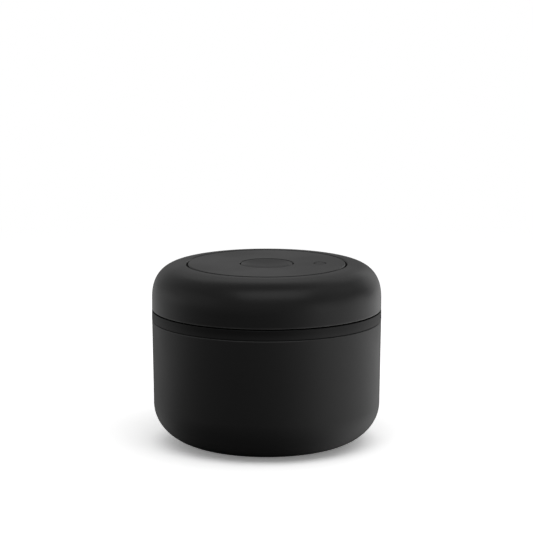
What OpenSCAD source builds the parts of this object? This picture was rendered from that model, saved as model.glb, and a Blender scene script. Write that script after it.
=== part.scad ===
// Vacuum coffee canister: a drawn steel body and a twist lid with a pump inside.
// Twisting the cap runs three follower pins along helical grooves and lifts a
// ring piston, which draws air out of the canister through two flap valves.
// Millimetres, +Z up, origin on the table under the middle of the canister.

/* [Width] */
// Diameter of the disc in the middle of the cap
plate_d = 80.5; // [76:0.1:100]
// Width of the cap's ring round the disc, from its hole to its widest
ring_w = 17.75; // [15.5:0.05:24]

/* [Canister] */
// Height of the steel body from the table to its rim
can_h = 64.2; // [52:0.1:160]
// Thickness of the drawn steel
can_wall = 0.8; // [0.6:0.1:1.2]
// Narrowing of the radius from the rim down to the foot corner
can_draft = 0.65; // [0:0.05:1.2]
// Height of the rounded foot corner
foot_corner_h = 21.5; // [14:0.5:26]
// Width of the rounded foot corner
foot_corner_w = 25; // [18:0.5:32]
// Fullness of the foot corner, where 2 is an ellipse
foot_fullness = 2.05; // [2:0.05:2.8]
// Width of the ring that stands on the table
foot_ring_w = 3; // [2:0.1:6]
// Depth of the pressed recess inside that ring
foot_recess = 0.9; // [0.4:0.1:2]

/* [Twist cap] */
// Height of the cap
cap_h = 23; // [22.6:0.1:28]
// Overhang of the cap beyond the canister's rim
cap_lip = 0; // [0:0.05:1]
// Wall of the cap
cap_wall = 2.2; // [1.6:0.1:2.6]
// Height of the cap's rounded shoulder
shoulder_h = 17.8; // [12:0.1:19]
// Fullness of the shoulder, where 2 is an ellipse
shoulder_fullness = 2.45; // [2:0.05:3]
// Shadow gap between the cap and the band below it
cap_gap = 0.7; // [0.4:0.1:1.2]
// Angle that the cap twists through
cap_twist = 90; // [60:1:95]

/* [Top disc] */
// Gap between the disc and the cap
plate_gap = 0.5; // [0.3:0.05:0.8]
// Thickness of the disc
plate_t = 1.5; // [1.2:0.1:2]
// Diameter of the release button
button_d = 26.6; // [22:0.1:30]
// Gap round the release button
button_gap = 0.4; // [0.3:0.05:0.6]
// Depth of the button's dish
dish_depth = 1.7; // [0.8:0.1:2.2]
// Travel of the release button
button_travel = 2; // [1:0.1:2.2]
// Diameter of the indicator's hole
indicator_hole_d = 6.3; // [5.6:0.1:6.6]
// Travel of the indicator pin
indicator_travel = 2; // [1:0.1:2.2]

/* [Lid base] */
// Height of the fixed band between the canister and the cap
band_h = 5.1; // [4:0.1:8]
// Depth of the plug below the rim
plug_depth = 15; // [14:0.1:18]
// Clearance between the plug and the inside of the canister
plug_clearance = 1.9; // [1.5:0.1:2.4]

/* [Pump] */
// Stroke of the piston
stroke = 8; // [5:0.1:8.4]
// Wall of the pump barrel
barrel_wall = 2.5; // [2:0.1:3]
// Radius of the follower pins
pin_r = 1.6; // [1.2:0.1:1.8]
// Thickness of the piston's crown
crown_t = 2.5; // [2:0.1:4]

/* [Hidden] */

// Fineness of the curves
$fn = 96;
corner_steps = 24;
edge_steps = 5;
dish_steps = 16;
ring_steps = 24;

// Finishes
coat_black = [0.105, 0.105, 0.105];
soft_black = [0.13, 0.13, 0.13];
inner_grey = [0.33, 0.34, 0.35];
natural_white = [0.87, 0.86, 0.82];
silicone_grey = [0.62, 0.64, 0.65];
steel_grey = [0.72, 0.73, 0.74];
signal_green = [0.22, 0.62, 0.35];

// Overrun of every cut past the face that it opens
over = 1;
// Overlap of joined shapes of one piece
bite = 0.5;
// Clearance of a fit that slides or turns
run_fit = 0.3;
// Clearance of a close guide
guide_fit = 0.15;
// Clearance of a piece that is fixed in its seat, or of a seal in its groove
seat_fit = 0.05;
// Rounding of the edges that show
edge_r = 0.4;
fine_edge_r = 0.25;

// Disc, cap and canister, from the middle outward
plate_r = plate_d / 2;
cap_hole_r = plate_r + plate_gap;
cap_r = cap_hole_r + ring_w;
cap_inner_r = cap_r - cap_wall;
can_r = cap_r - cap_lip;

// Canister
can_low_r = can_r - can_draft;
can_slope = can_draft / (can_h - foot_corner_h);
foot_r = can_low_r - foot_corner_w;
foot_slope_w = 1.2;

// Levels from the rim up to the top
band_top_z = can_h + band_h;
cap_bottom_z = band_top_z + cap_gap;
top_z = cap_bottom_z + cap_h;
plate_z = top_z - plate_t;
skirt_h = 1.2;
carrier_t = 2;
carrier_top_z = plate_z - skirt_h;
barrel_top_z = carrier_top_z - carrier_t;

// Shoulder of the cap
cap_land = 0.3;
shoulder_r = cap_hole_r + cap_land;
shoulder_z = top_z - shoulder_h;

// Carrier, sleeve bore, barrel and piston, from the disc inward
carrier_inset = 0.2;
ledge_w = 0.9;
carrier_r = plate_r - carrier_inset;
sleeve_bore_r = carrier_r - ledge_w;
barrel_r = sleeve_bore_r - run_fit;
bore_r = barrel_r - barrel_wall;
piston_r = bore_r - run_fit;

// Screws and the bosses that hold them
screw_r = 1.25;
screw_hole_r = 1.45;
screw_head_r = 2.4;
screw_head_h = 1.3;
slot_w = 0.6;
slot_l = 2.8;
slot_depth = 0.7;
boss_r = 3.2;
hole_spare = 0.5;

// Lid base: band, plug and pump floor
band_lip = 0.05;
band_wall = 1.8;
flange_h = 2.4;
groove_depth = 1.6;
plug_core_t = 2.4;
floor_t = 2.2;
spigot_wall = 3.8;
vent_depth = 6;
chamber_floor_t = 3.2;
rib_t = 1.4;
rib_h = 4;
rib_angles = [for (i = [0:11]) 30 * i];
band_r = can_r + band_lip;
plug_r = can_r - can_wall - plug_clearance - can_slope * plug_depth;
plug_core_r = plug_r - groove_depth;
plug_inner_r = plug_core_r - plug_core_t;
plug_z = can_h - plug_depth;
floor_z = plug_z + floor_t;
spigot_r = bore_r - run_fit;
vent_r = spigot_r - spigot_wall;
chamber_floor_z = plug_z + vent_depth;
chamber_z = chamber_floor_z + chamber_floor_t;
crown_gap = 0.6;
crown_z = chamber_z + crown_gap;

// Gasket round the plug
gasket_foot = 3.6;
gasket_h = 7.8;
fin_t = 0.9;
fin_tip_t = 0.5;
fin_rise = 1.6;
fin_pitch = 3.6;
fin_foot = 0.6;
gasket_z = plug_z + gasket_foot;
fin_r = can_r - can_wall - run_fit - can_slope * plug_depth;

// Vent cover and screen under the pump
rebate_w = 1.4;
cover_t = 1.2;
cover_inset = 0.2;
cover_rim_t = 1.2;
cover_rim_h = 2.4;
bead_r = 0.3;
screen_t = 0.25;
vent_hole_r = 1.05;
vent_rows = 3;
vent_edge_w = 8.25;
rebate_r = vent_r + rebate_w;
rebate_z = plug_z + cover_t + cover_inset;
bead_z = rebate_z + cover_rim_h / 2;
vent_pitch = (vent_r - vent_edge_w) / vent_rows;

// Ring seals: each is a round ring in a square groove
ring_r = 0.8;
ring_groove_h = 2 * (ring_r + seat_fit);
spigot_groove_gap = 1;

// Barrel
barrel_lead = 0.8;
collar_h = 2;
collar_w = 1.7;
lug_h = 3.2;
lug_w = 6;
ear_t = 2.4;
ear_gap = 1;
ear_x = barrel_r + ear_gap + boss_r;
ear_angles = [60, 180, 300];
lug_angles = [30, 150, 270];
follower_angles = [90, 210, 330];
carrier_screw_x = bore_r - lug_w / 2;
barrel_screw_l = 7;
carrier_screw_l = 4.2;

// Button, its well and the central column
button_drop = 0.1;
button_h = 4.7;
button_wall = 1.6;
button_rim_w = 0.5;
button_rib_t = 1.2;
button_ribs = 6;
well_wall = 1.3;
well_floor_t = 1.3;
button_r = button_d / 2;
button_top_z = top_z - button_drop;
button_bottom_z = button_top_z - button_h;
dish_r = button_r - edge_r - button_rim_w;
dish_z = button_top_z - dish_depth;
well_r = button_r + button_gap;
well_floor_z = button_bottom_z - button_travel - run_fit;
well_base_z = well_floor_z - well_floor_t;
column_r = 7;
port_r = 2.9;
spring_seat_depth = 12.3;
column_top_z = well_base_z - seat_fit;
spring_seat_z = column_top_z - spring_seat_depth;

// Release stem, its valve and its spring
hub_r = 3.5;
hub_drop = 1.3;
stem_r = 1.6;
stem_socket = 3;
collar_r = 2.4;
stem_collar_h = 1;
barb_r = 2.2;
barb_t = 0.6;
valve_r = 5;
valve_t = 1.4;
valve_lip_w = 1.6;
valve_lip_h = 0.3;
button_wire_r = 0.35;
button_coil_r = 3.1;
button_turns = 8;
spring_room = 0.45;
spring_bore_r = button_coil_r + button_wire_r + spring_room;
hub_z = button_bottom_z - hub_drop;
valve_top_z = chamber_floor_z - seat_fit;
valve_z = valve_top_z - valve_t;
stem_top_z = hub_z + stem_socket - seat_fit;

// Indicator: pin, sleeve, diaphragm, spring and column
pin_fit = 0.35;
indicator_skin = 0.7;
indicator_pin_h = 6.6;
stop_gap = 0.1;
flange_t = 1;
indicator_sleeve_r = 5;
indicator_boss_t = 1.4;
indicator_ledge_w = 0.55;
indicator_column_r = 5.2;
indicator_port_r = 1.5;
pad_r = 2.8;
pad_t = 0.7;
pad_lift = 0.7;
rim_pad_t = 0.8;
rolling_t = 0.5;
indicator_spring_space = 6;
indicator_wire_r = 0.25;
indicator_coil_r = 2.2;
indicator_turns = 7;
indicator_hole_r = indicator_hole_d / 2;
indicator_bore_r = indicator_hole_r + indicator_ledge_w;
flange_r = indicator_bore_r - run_fit;
indicator_pin_r = indicator_hole_r - pin_fit;
indicator_top_z = top_z - button_drop;
indicator_sleeve_top_z = top_z - indicator_skin;
flange_top_z = indicator_top_z - indicator_pin_h;
flange_z = flange_top_z - flange_t;
pad_z = flange_z - pad_t;
indicator_column_top_z = pad_z - pad_lift;
indicator_sleeve_z = indicator_column_top_z + rim_pad_t;
indicator_seat_z = indicator_column_top_z - indicator_travel - indicator_spring_space;

// Piston, its legs and the follower pins
skirt_t = 2.2;
skirt_guide_h = 7;
hub_wall = 3.2;
hub_h = 10;
guide_hub_h = 7;
seal_foot = 0.7;
leg_angle = 28;
leg_gap = 0.8;
leg_cover = 2.5;
leg_relief = 0.1;
leg_step = 0.4;
leg_rib_t = 1.6;
pin_boss_w = 8;
pin_boss_t = 4.5;
pin_stub = 4;
pin_edge_r = 0.3;
hub_bore_r = column_r + run_fit;
hub_outer_r = hub_bore_r + hub_wall;
guide_bore_r = indicator_column_r + run_fit;
guide_hub_r = guide_bore_r + hub_wall;
guide_hub_inset = 0.35;
indicator_x = piston_r - guide_hub_r - guide_hub_inset;
leg_inner_r = piston_r - skirt_t;
pin_high_z = barrel_top_z - lug_h - leg_gap - leg_cover;
pin_z = pin_high_z - stroke;

// Cam sleeve and its lugs
cam_depth = 3.3;
cam_back = 2.4;
thrust_fit = 0.2;
sleeve_gap = 0.7;
entry_angle = 6;
end_angle = 3.2;
cam_steps = 32;
pin_end_gap = 0.3;
cap_lug_t = 2.4;
cap_lug_drop = 8.2;
cap_screw_l = 8;
cap_lug_angles = [45, 165, 285];
cap_rib_angles = [15, 75, 105, 135, 195, 225, 255, 315, 345];
cap_rib_h = 6;
cap_rib_t = 1.2;
cam_r = sleeve_bore_r + cam_depth;
sleeve_r = cam_r + cam_back;
sleeve_z = cap_bottom_z + thrust_fit;
sleeve_end_z = top_z - cap_wall - sleeve_gap;
ledge_z = barrel_top_z - thrust_fit;
ledge_r = carrier_r + run_fit;
cam_half = pin_r + guide_fit;
pin_tip_r = cam_r - pin_end_gap;
cap_lug_z = top_z - cap_wall - cap_lug_drop;
cap_screw_x = sleeve_r + run_fit + boss_r;

// Flap valves and their seats
flap_r = 5.6;
flap_t = 1;
flap_edge_t = 0.4;
flap_stem_r = 1.2;
flap_bulb_r = 1.7;
flap_bulb_h = 1.2;
flap_port_r = 0.8;
flap_port_x = 3.3;
flap_ports = 6;
flap_room = 0.8;
flap_pocket_r = flap_r + flap_room;
flap_place_share = 0.555;
flap_x = flap_place_share * piston_r;
seat_web_t = 1.5;
exhaust_wall = 1.2;
inlet_seat_z = chamber_floor_z + seat_web_t;
exhaust_web_z = crown_z + flap_bulb_h + crown_gap;
exhaust_seat_z = exhaust_web_z + seat_web_t;

// Top disc, its pegs and the air ways under it
disc_skirt_t = 1.4;
disc_skirt_inset = 0.8;
notch_w = 5;
notch_angles = [for (i = [0:5]) 60 * i];
peg_r = 1.5;
peg_l = 3;
peg_inset = 5.25;
peg_x = plate_r - peg_inset;
peg_angles = [0, 90, 180];
air_hole_r = 1.6;
air_hole_share = 0.575;
air_hole_x = air_hole_share * carrier_r;
air_hole_angles = [for (i = [0:5]) 30 + 60 * i];
head_sink = 0.6;
carrier_rib_h = 1.6;
carrier_rib_angles = [60, 120, 180, 240, 300];

// Points of an arc about c, from angle a to angle b
function arc(c, r, a, b) =
    [for (i = [0:edge_steps]) let (t = a + (b - a) * i / edge_steps) c + r * [cos(t), sin(t)]];

// Points of a full corner about c, from straight above it to straight beside it
function full_corner(c, w, h, fullness) =
    [for (i = [0:corner_steps]) let (a = 90 - 90 * i / corner_steps)
        c + [w * pow(cos(a), 2 / fullness), h * pow(sin(a), 2 / fullness)]];

function backward(points) = [for (i = [len(points) - 1:-1:0]) points[i]];

// The outline of the foot corner, inset by a wall, from the table up
function foot_curve(inset) =
    [for (p = full_corner([foot_r, 0], foot_corner_w - inset, foot_corner_h - inset,
        foot_fullness)) [p.x, foot_corner_h - p.y]];

// The outline of the cap's shoulder, inset by a wall, from the top down
function shoulder_curve(inset) =
    full_corner([shoulder_r, shoulder_z], cap_r - shoulder_r - inset, shoulder_h - inset,
        shoulder_fullness);

module turned(points) {
    rotate_extrude() polygon(points);
}

// A plain ring between two radii and two heights
module ring(inner, outer, low, high) {
    turned([[inner, low], [outer, low], [outer, high], [inner, high]]);
}

module drum(r, low, high) {
    translate([0, 0, low]) cylinder(r = r, h = high - low);
}

module around(angles, x = 0) {
    for (a = angles) rotate([0, 0, a]) translate([x, 0, 0]) children();
}

// A bar that runs out from radius start to radius end
module bar(start, end, w, low, high) {
    translate([start, -w / 2, low]) cube([end - start, w, high - low]);
}

// A round ring seal about the z axis
module round_ring(centre_r, z) {
    color(silicone_grey) rotate_extrude() translate([centre_r, z]) circle(r = ring_r, $fn = ring_steps);
}

// The square groove that a ring seal lies in
module ring_groove(inner, outer, z) {
    ring(inner, outer, z - ring_groove_h / 2, z + ring_groove_h / 2);
}

// A spring whose wire winds up from low to high
module coil(r, wire, low, high, turns) {
    sides = 6;
    per_turn = 10;
    rings = turns * per_turn;
    points = [for (i = [0:rings], j = [0:sides - 1])
        let (a = 360 * i / per_turn, b = 360 * j / sides, out = r + wire * cos(b))
        [out * cos(a), out * sin(a),
            low + wire + (high - low - 2 * wire) * i / rings + wire * sin(b)]];
    walls = [for (i = [0:rings - 1], j = [0:sides - 1])
        let (k = i * sides, m = (j + 1) % sides)
        each [[k + j, k + sides + m, k + sides + j], [k + j, k + m, k + sides + m]]];
    first = [for (j = [1:sides - 2]) [0, j + 1, j]];
    last = [for (j = [1:sides - 2]) [for (v = [0, j, j + 1]) rings * sides + v]];
    color(steel_grey) polyhedron(points = points, faces = concat(walls, first, last));
}

// A cross head screw with its seat at z 0 and its shank going down
module screw(length) {
    color(steel_grey) difference() {
        turned(concat(
            [[0, -length], [screw_r / 2, -length], [screw_r, screw_r / 2 - length],
                [screw_r, 0], [screw_head_r, 0]],
            arc([screw_head_r - edge_r, screw_head_h - edge_r], edge_r, 0, 90),
            [[0, screw_head_h]]));
        for (a = [0, 90]) rotate([0, 0, a]) translate([-slot_l / 2, 0, 0])
            bar(0, slot_l, slot_w, screw_head_h - slot_depth, screw_head_h + over);
    }
}

// A flap valve: its disc lies on z 0 and its bulb holds it under a web
module flap_valve() {
    color(silicone_grey) turned([
        [0, -seat_web_t - flap_bulb_h], [flap_stem_r, -seat_web_t - flap_bulb_h],
        [flap_bulb_r, -seat_web_t - flap_bulb_h / 2], [flap_bulb_r, -seat_web_t - seat_fit],
        [flap_stem_r, -seat_web_t - seat_fit], [flap_stem_r, seat_fit],
        [flap_r, seat_fit], [flap_r, flap_edge_t], [flap_stem_r, flap_t], [0, flap_t]
    ]);
}

// The holes through the web that a flap valve covers
module flap_seat() {
    drum(flap_stem_r + seat_fit, -seat_web_t - over, over);
    around([for (i = [1:flap_ports]) 360 * i / flap_ports], flap_port_x)
        drum(flap_port_r, -seat_web_t - over, over);
}

module canister_body() {
    color(coat_black) turned(concat(
        [[0, foot_recess], [foot_r - foot_ring_w - foot_slope_w, foot_recess],
            [foot_r - foot_ring_w, 0]],
        foot_curve(0),
        arc([can_r - fine_edge_r, can_h - fine_edge_r], fine_edge_r, 0, 90),
        arc([can_r - can_wall + fine_edge_r, can_h - fine_edge_r], fine_edge_r, 90, 180),
        backward(foot_curve(can_wall)),
        [[foot_r - foot_ring_w, can_wall],
            [foot_r - foot_ring_w - foot_slope_w, foot_recess + can_wall],
            [0, foot_recess + can_wall]]));
}

module lid_base() {
    rim_z = can_h + seat_fit;
    color(soft_black) difference() {
        union() {
            lid_base_shell(rim_z);
            translate([indicator_x, 0, 0]) turned([
                [0, chamber_z - bite], [indicator_column_r, chamber_z - bite],
                [indicator_column_r, indicator_column_top_z], [0, indicator_column_top_z]]);
            around(ear_angles, ear_x) drum(boss_r, floor_z - bite, chamber_z);
            around(rib_angles)
                bar(barrel_r + ear_gap, plug_inner_r + bite, rib_t, floor_z - bite,
                    floor_z + rib_h);
        }
        translate([indicator_x, 0, 0]) {
            drum(indicator_bore_r, indicator_seat_z, indicator_column_top_z + over);
            drum(indicator_port_r, chamber_floor_z - over, indicator_seat_z + over);
        }
        around(ear_angles, ear_x)
            drum(screw_r + seat_fit, chamber_z + ear_t - barrel_screw_l - hole_spare,
                chamber_z + over);
        translate([0, -flap_x, inlet_seat_z]) {
            flap_seat();
            drum(flap_pocket_r, 0, chamber_floor_t);
        }
    }
}

// The turned part of the lid base
module lid_base_shell(rim_z) {
    difference() {
        turned(concat(
            [[port_r, chamber_floor_z], [vent_r, chamber_floor_z], [vent_r, rebate_z],
                [rebate_r, rebate_z], [rebate_r, plug_z]],
            arc([plug_r - edge_r, plug_z + edge_r], edge_r, -90, 0),
            [[plug_r, gasket_z], [plug_core_r, gasket_z], [plug_core_r, gasket_z + gasket_h],
                [plug_r, gasket_z + gasket_h], [plug_r, rim_z]],
            arc([band_r - fine_edge_r, rim_z + fine_edge_r], fine_edge_r, -90, 0),
            arc([band_r - fine_edge_r, band_top_z - fine_edge_r], fine_edge_r, 0, 90),
            [[band_r - band_wall, band_top_z], [band_r - band_wall, rim_z + flange_h],
                [plug_inner_r, rim_z + flange_h], [plug_inner_r, floor_z],
                [spigot_r, floor_z], [spigot_r, chamber_z], [column_r, chamber_z],
                [column_r, column_top_z], [spring_bore_r, column_top_z],
                [spring_bore_r, spring_seat_z], [port_r, spring_seat_z]]));
        ring_groove(bore_r - 2 * ring_r - 2 * seat_fit, spigot_r + over, barrel_seal_z());
        rotate_extrude() translate([vent_r - seat_fit, bead_z])
            circle(r = bead_r + seat_fit, $fn = ring_steps);
    }
}

function barrel_seal_z() = floor_z + barrel_lead + spigot_groove_gap + ring_groove_h / 2;

module lid_gasket() {
    foot = plug_core_r + seat_fit;
    face = plug_r - seat_fit;
    color(silicone_grey) turned(concat(
        [[foot, gasket_z + seat_fit], [face, gasket_z + seat_fit]],
        [for (i = [0:1]) let (z = gasket_z + fin_foot + i * fin_pitch)
            each [[face, z], [fin_r, z + fin_rise], [fin_r, z + fin_rise + fin_tip_t],
                [face, z + fin_t]]],
        [[face, gasket_z + gasket_h - seat_fit], [foot, gasket_z + gasket_h - seat_fit]]));
}

module vent_cover() {
    low = plug_z + cover_inset;
    rim_r = vent_r - seat_fit;
    color(soft_black) difference() {
        union() {
            turned([[0, low], [rebate_r - seat_fit, low],
                [rebate_r - seat_fit, rebate_z - seat_fit], [rim_r, rebate_z - seat_fit],
                [rim_r, rebate_z + cover_rim_h], [rim_r - cover_rim_t, rebate_z + cover_rim_h],
                [rim_r - cover_rim_t, low + cover_t], [0, low + cover_t]]);
            rotate_extrude() translate([rim_r, bead_z]) circle(r = bead_r, $fn = ring_steps);
        }
        drum(vent_hole_r, low - over, low + cover_t + over);
        for (row = [1:vent_rows]) {
            row_r = row * vent_pitch;
            holes = 6 * row;
            around([for (i = [1:holes]) 360 * i / holes], row_r)
                drum(vent_hole_r, low - over, low + cover_t + over);
        }
    }
}

module filter_screen() {
    low = plug_z + cover_inset + cover_t + seat_fit;
    color(steel_grey) drum(vent_r - cover_rim_t - 3 * seat_fit, low, low + screen_t);
}

module inlet_valve() {
    translate([0, -flap_x, inlet_seat_z]) flap_valve();
}

module pump_barrel() {
    low = floor_z + seat_fit;
    slot_low = pin_z - guide_fit;
    slot_high = pin_high_z + guide_fit;
    slot_r = barrel_r + collar_w + over;
    color(inner_grey) difference() {
        union() {
            turned([
                [bore_r + barrel_lead / 2, low], [barrel_r, low],
                [barrel_r, cap_bottom_z - collar_h], [barrel_r + collar_w, cap_bottom_z - collar_h],
                [barrel_r + collar_w, cap_bottom_z], [barrel_r, cap_bottom_z],
                [barrel_r, barrel_top_z], [bore_r, barrel_top_z], [bore_r, low + barrel_lead]]);
            around(ear_angles) bar(barrel_r - barrel_wall / 2, ear_x, 2 * boss_r, chamber_z,
                chamber_z + ear_t);
            around(ear_angles, ear_x) drum(boss_r, chamber_z, chamber_z + ear_t);
            around(lug_angles) bar(carrier_screw_x, barrel_r - barrel_wall / 2, lug_w,
                barrel_top_z - lug_h, barrel_top_z);
            around(lug_angles, carrier_screw_x)
                drum(lug_w / 2, barrel_top_z - lug_h, barrel_top_z);
        }
        around(ear_angles, ear_x) drum(screw_hole_r, chamber_z - over, chamber_z + ear_t + over);
        around(lug_angles, carrier_screw_x)
            drum(screw_r + seat_fit, barrel_top_z - lug_h - over, barrel_top_z + over);
        around(follower_angles) {
            bar(bore_r - over, slot_r, 2 * cam_half, slot_low, slot_high);
            for (z = [slot_low, slot_high]) translate([bore_r - over, 0, z])
                rotate([0, 90, 0]) cylinder(r = cam_half, h = slot_r - bore_r + over);
        }
    }
}

module barrel_seal() {
    round_ring(bore_r - seat_fit - ring_r, barrel_seal_z());
}

module barrel_screws() {
    around(ear_angles, ear_x) translate([0, 0, chamber_z + ear_t]) screw(barrel_screw_l);
}

module top_carrier() {
    well_outer_r = well_r + well_wall;
    sleeve_hole_r = indicator_sleeve_r + seat_fit;
    color(inner_grey) difference() {
        union() {
            turned([
                [spring_bore_r, well_base_z], [well_outer_r, well_base_z],
                [well_outer_r, barrel_top_z], [carrier_r, barrel_top_z],
                [carrier_r, carrier_top_z], [well_outer_r, carrier_top_z],
                [well_outer_r, plate_z - seat_fit], [well_r, plate_z - seat_fit],
                [well_r, well_floor_z], [spring_bore_r, well_floor_z]]);
            translate([indicator_x, 0, 0])
                drum(sleeve_hole_r + indicator_boss_t, indicator_sleeve_z + rim_pad_t,
                    carrier_top_z - carrier_t / 2);
            around(carrier_rib_angles)
                bar(well_outer_r - bite, carrier_screw_x, rib_t, barrel_top_z - carrier_rib_h,
                    barrel_top_z + bite);
        }
        translate([indicator_x, 0, 0])
            drum(sleeve_hole_r, indicator_sleeve_z, carrier_top_z + over);
        around(peg_angles, peg_x) drum(peg_r + seat_fit, barrel_top_z - over, carrier_top_z + over);
        around(air_hole_angles, air_hole_x)
            drum(air_hole_r, barrel_top_z - over, carrier_top_z + over);
        around(lug_angles, carrier_screw_x) {
            drum(screw_hole_r, barrel_top_z - over, carrier_top_z + over);
            drum(screw_head_r + guide_fit, carrier_top_z - head_sink, carrier_top_z + over);
        }
    }
}

module carrier_screws() {
    around(lug_angles, carrier_screw_x) translate([0, 0, carrier_top_z - head_sink])
        screw(carrier_screw_l);
}

module top_disc() {
    skirt_r = plate_r - disc_skirt_inset;
    color(soft_black) difference() {
        union() {
            turned(concat(
                [[well_r, plate_z], [skirt_r - disc_skirt_t, plate_z],
                    [skirt_r - disc_skirt_t, carrier_top_z + seat_fit],
                    [skirt_r, carrier_top_z + seat_fit], [skirt_r, plate_z],
                    [plate_r, plate_z]],
                arc([plate_r - edge_r, top_z - edge_r], edge_r, 0, 90),
                arc([well_r + fine_edge_r, top_z - fine_edge_r], fine_edge_r, 90, 180)));
            around(peg_angles, peg_x) drum(peg_r, plate_z - peg_l, plate_z + bite);
        }
        around(notch_angles)
            bar(skirt_r - disc_skirt_t - over, plate_r + over, notch_w, carrier_top_z - over,
                plate_z);
        translate([indicator_x, 0, 0]) {
            drum(indicator_sleeve_r + seat_fit, plate_z - over, indicator_sleeve_top_z);
            drum(indicator_hole_r, plate_z - over, top_z + over);
        }
    }
}

module indicator_sleeve() {
    step_z = flange_top_z + stop_gap;
    color(signal_green) translate([indicator_x, 0, 0]) turned([
        [indicator_bore_r, indicator_sleeve_z], [indicator_sleeve_r, indicator_sleeve_z],
        [indicator_sleeve_r, indicator_sleeve_top_z - seat_fit],
        [indicator_hole_r, indicator_sleeve_top_z - seat_fit], [indicator_hole_r, step_z],
        [indicator_bore_r, step_z]]);
}

module indicator_diaphragm() {
    rim_in_r = indicator_bore_r + seat_fit;
    color(silicone_grey) translate([indicator_x, 0, 0]) turned([
        [0, pad_z], [pad_r, pad_z], [rim_in_r, indicator_column_top_z],
        [indicator_column_r, indicator_column_top_z],
        [indicator_column_r, indicator_sleeve_z], [rim_in_r, indicator_sleeve_z],
        [pad_r, pad_z + rolling_t], [pad_r, flange_z], [0, flange_z]]);
}

module indicator_spring() {
    translate([indicator_x, 0, 0])
        coil(indicator_coil_r, indicator_wire_r, indicator_seat_z + seat_fit, pad_z - seat_fit,
            indicator_turns);
}

module indicator_pin() {
    color(soft_black) translate([indicator_x, 0, 0]) turned(concat(
        [[0, flange_z], [flange_r, flange_z], [flange_r, flange_top_z],
            [indicator_pin_r, flange_top_z]],
        arc([indicator_pin_r - edge_r, indicator_top_z - edge_r], edge_r, 0, 90),
        [[0, indicator_top_z]]));
}

module release_button() {
    ball_r = (dish_r * dish_r + dish_depth * dish_depth) / (2 * dish_depth);
    half = asin(dish_r / ball_r);
    dish = [for (i = [0:dish_steps]) let (a = half * (1 - i / dish_steps))
        [ball_r * sin(a), dish_z + ball_r * (1 - cos(a))]];
    roof_z = dish_z - button_wall;
    inner_r = button_r - button_wall;
    color(soft_black) difference() {
        union() {
            turned(concat(
                [[stem_r + seat_fit, hub_z], [hub_r, hub_z], [hub_r, roof_z], [inner_r, roof_z],
                    [inner_r, button_bottom_z], [button_r, button_bottom_z]],
                arc([button_r - edge_r, button_top_z - edge_r], edge_r, 0, 90),
                dish,
                [[0, hub_z + stem_socket], [stem_r + seat_fit, hub_z + stem_socket]]));
            around([for (i = [1:button_ribs]) 360 * i / button_ribs])
                bar(hub_r - bite, inner_r + bite, button_rib_t, button_bottom_z + bite,
                    roof_z + bite);
        }
    }
}

module button_spring() {
    coil(button_coil_r, button_wire_r, spring_seat_z + seat_fit, hub_z - seat_fit,
        button_turns);
}

module valve_stem() {
    grip_z = valve_top_z - valve_lip_h + seat_fit;
    color(steel_grey) turned([
        [0, valve_z - seat_fit - barb_t], [stem_r, valve_z - seat_fit - barb_t],
        [barb_r, valve_z - seat_fit], [stem_r, valve_z - seat_fit], [stem_r, grip_z],
        [collar_r, grip_z], [collar_r, grip_z + stem_collar_h], [stem_r, grip_z + stem_collar_h],
        [stem_r, stem_top_z], [0, stem_top_z]]);
}

module release_valve() {
    hole_r = stem_r + seat_fit;
    color(silicone_grey) turned([
        [hole_r, valve_z], [valve_r - valve_lip_w / 2, valve_z], [valve_r, valve_z + valve_t / 2],
        [valve_r, valve_top_z], [valve_r - valve_lip_w, valve_top_z],
        [valve_r - valve_lip_w, valve_top_z - valve_lip_h], [hole_r, valve_top_z - valve_lip_h]]);
}

module piston() {
    crown_top_z = crown_z + crown_t;
    color(natural_white) difference() {
        union() {
            turned([
                [hub_bore_r, crown_z], [piston_r, crown_z], [piston_r, crown_z + skirt_guide_h],
                [leg_inner_r, crown_z + skirt_guide_h], [leg_inner_r, crown_top_z],
                [hub_outer_r, crown_top_z], [hub_outer_r, crown_z + hub_h],
                [hub_bore_r, crown_z + hub_h]]);
            translate([indicator_x, 0, 0])
                drum(guide_hub_r, crown_z + crown_t / 2, crown_z + guide_hub_h - bite);
            translate([0, flap_x, 0])
                drum(flap_pocket_r + exhaust_wall, crown_z + crown_t / 2, exhaust_seat_z);
            around(follower_angles) piston_leg();
        }
        translate([indicator_x, 0, 0]) {
            drum(guide_bore_r, crown_z - over, crown_z + guide_hub_h + over);
            ring_groove(0, indicator_column_r + 2 * ring_r + 2 * seat_fit, guide_seal_z());
        }
        ring_groove(0, column_r + 2 * ring_r + 2 * seat_fit, column_seal_z());
        ring_groove(bore_r - 2 * ring_r - 2 * seat_fit, piston_r + over, piston_seal_z());
        translate([0, flap_x, exhaust_seat_z]) flap_seat();
        translate([0, flap_x, 0]) drum(flap_pocket_r, crown_z - over, exhaust_web_z);
    }
}

// One leg of the piston, with the boss that carries its follower pin
module piston_leg() {
    top = pin_z + leg_cover;
    difference() {
        union() {
            rotate([0, 0, -leg_angle / 2]) rotate_extrude(angle = leg_angle) polygon([
                [leg_inner_r - leg_step, crown_z + crown_t / 2],
                [piston_r - leg_relief, crown_z + crown_t / 2], [piston_r - leg_relief, top],
                [leg_inner_r - leg_step, top]]);
            bar(leg_inner_r - pin_boss_t, piston_r - skirt_t / 2, pin_boss_w, pin_z - leg_cover,
                top);
            bar(leg_inner_r - pin_boss_t, piston_r - skirt_t / 2, leg_rib_t,
                crown_z + crown_t / 2, pin_z);
        }
        translate([leg_inner_r - pin_boss_t - over, 0, pin_z]) rotate([0, 90, 0])
            cylinder(r = pin_r + seat_fit, h = pin_boss_t + skirt_t + 2 * over);
    }
}

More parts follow.
